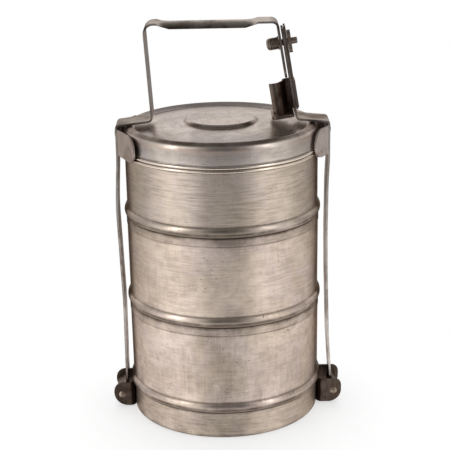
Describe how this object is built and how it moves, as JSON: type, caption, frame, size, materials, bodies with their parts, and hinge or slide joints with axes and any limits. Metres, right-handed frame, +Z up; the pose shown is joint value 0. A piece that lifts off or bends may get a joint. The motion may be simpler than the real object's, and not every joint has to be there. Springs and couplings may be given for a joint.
{
  "type": "tiffin carrier",
  "caption": "Round stacked metal food carrier with nested bowls and a lid, clamped by a hinged strap frame with a folded grip and a slide-and-pin latch.",
  "frame": {"origin": "middle of the base ring's underside, on the axis of the stack", "axes": "+Z up the stack; the carrying frame stands in the XZ plane with the latch at +X; -Y is the front, the side that the rounded front of the latch's thumb catch faces"},
  "size_m": [0.1722, 0.1436, 0.2907],
  "materials": {
    "tinned_steel": "worn, fine horizontal brushing",
    "strap_steel": "worn, dulled",
    "dark_steel": "dark, aged"
  },
  "bodies": {
    "base": {"base_ring": "tinned_steel", "bottom_bowl": "tinned_steel", "left_bracket": "dark_steel", "right_bracket": "dark_steel", "left_hinge_pin": "dark_steel", "right_hinge_pin": "dark_steel"},
    "middle_tier": {"middle_bowl": "tinned_steel"},
    "top_tier": {"top_bowl": "tinned_steel"},
    "cover": {"lid": "tinned_steel"},
    "left_frame": {"left_arm": "strap_steel", "left_saddle": "strap_steel", "left_saddle_rivet": "dark_steel"},
    "right_frame": {"right_arm": "strap_steel", "right_saddle": "strap_steel", "right_saddle_rivet": "dark_steel"},
    "latch": {"latch_tongue": "dark_steel", "thumb_catch": "dark_steel"},
    "lock": {"lock_pin": "dark_steel", "lock_knob": "dark_steel", "turn_button": "dark_steel"}
  },
  "joints": [
    {"name": "left_arm_swing", "type": "hinge", "parent": "base", "child": "left_frame", "pos_m": [-0.0786, 0, 0.01], "axis": [0, -1, 0], "range_deg": [0, 92]},
    {"name": "right_arm_swing", "type": "hinge", "parent": "base", "child": "right_frame", "pos_m": [0.0816, 0, 0.01], "axis": [0, 1, 0], "range_deg": [0, 92]},
    {"name": "middle_bowl_lift", "type": "slide", "parent": "base", "child": "middle_tier", "axis": [0, 0, 1], "range_m": [0, 0.019]},
    {"name": "top_bowl_lift", "type": "slide", "parent": "middle_tier", "child": "top_tier", "axis": [0, 0, 1], "range_m": [0, 0.019]},
    {"name": "lid_lift", "type": "slide", "parent": "top_tier", "child": "cover", "axis": [0, 0, 1], "range_m": [0, 0.019]},
    {"name": "latch_slide", "type": "slide", "parent": "right_frame", "child": "latch", "axis": [-0.1536, 0, 0.9881], "range_m": [0, 0.019]},
    {"name": "lock_turn", "type": "hinge", "parent": "left_frame", "child": "lock", "pos_m": [0.04603, 0, 0.2742], "axis": [0.9881, 0, 0.1536], "range_deg": [0, 90]}
  ],
  "couplings": [
    {"joint": "right_arm_swing", "follows": "left_arm_swing", "ratio": 1},
    {"joint": "middle_bowl_lift", "follows": "left_arm_swing", "m_per_rad": 0.011832},
    {"joint": "top_bowl_lift", "follows": "left_arm_swing", "m_per_rad": 0.011832},
    {"joint": "lid_lift", "follows": "left_arm_swing", "m_per_rad": 0.011832}
  ]
}
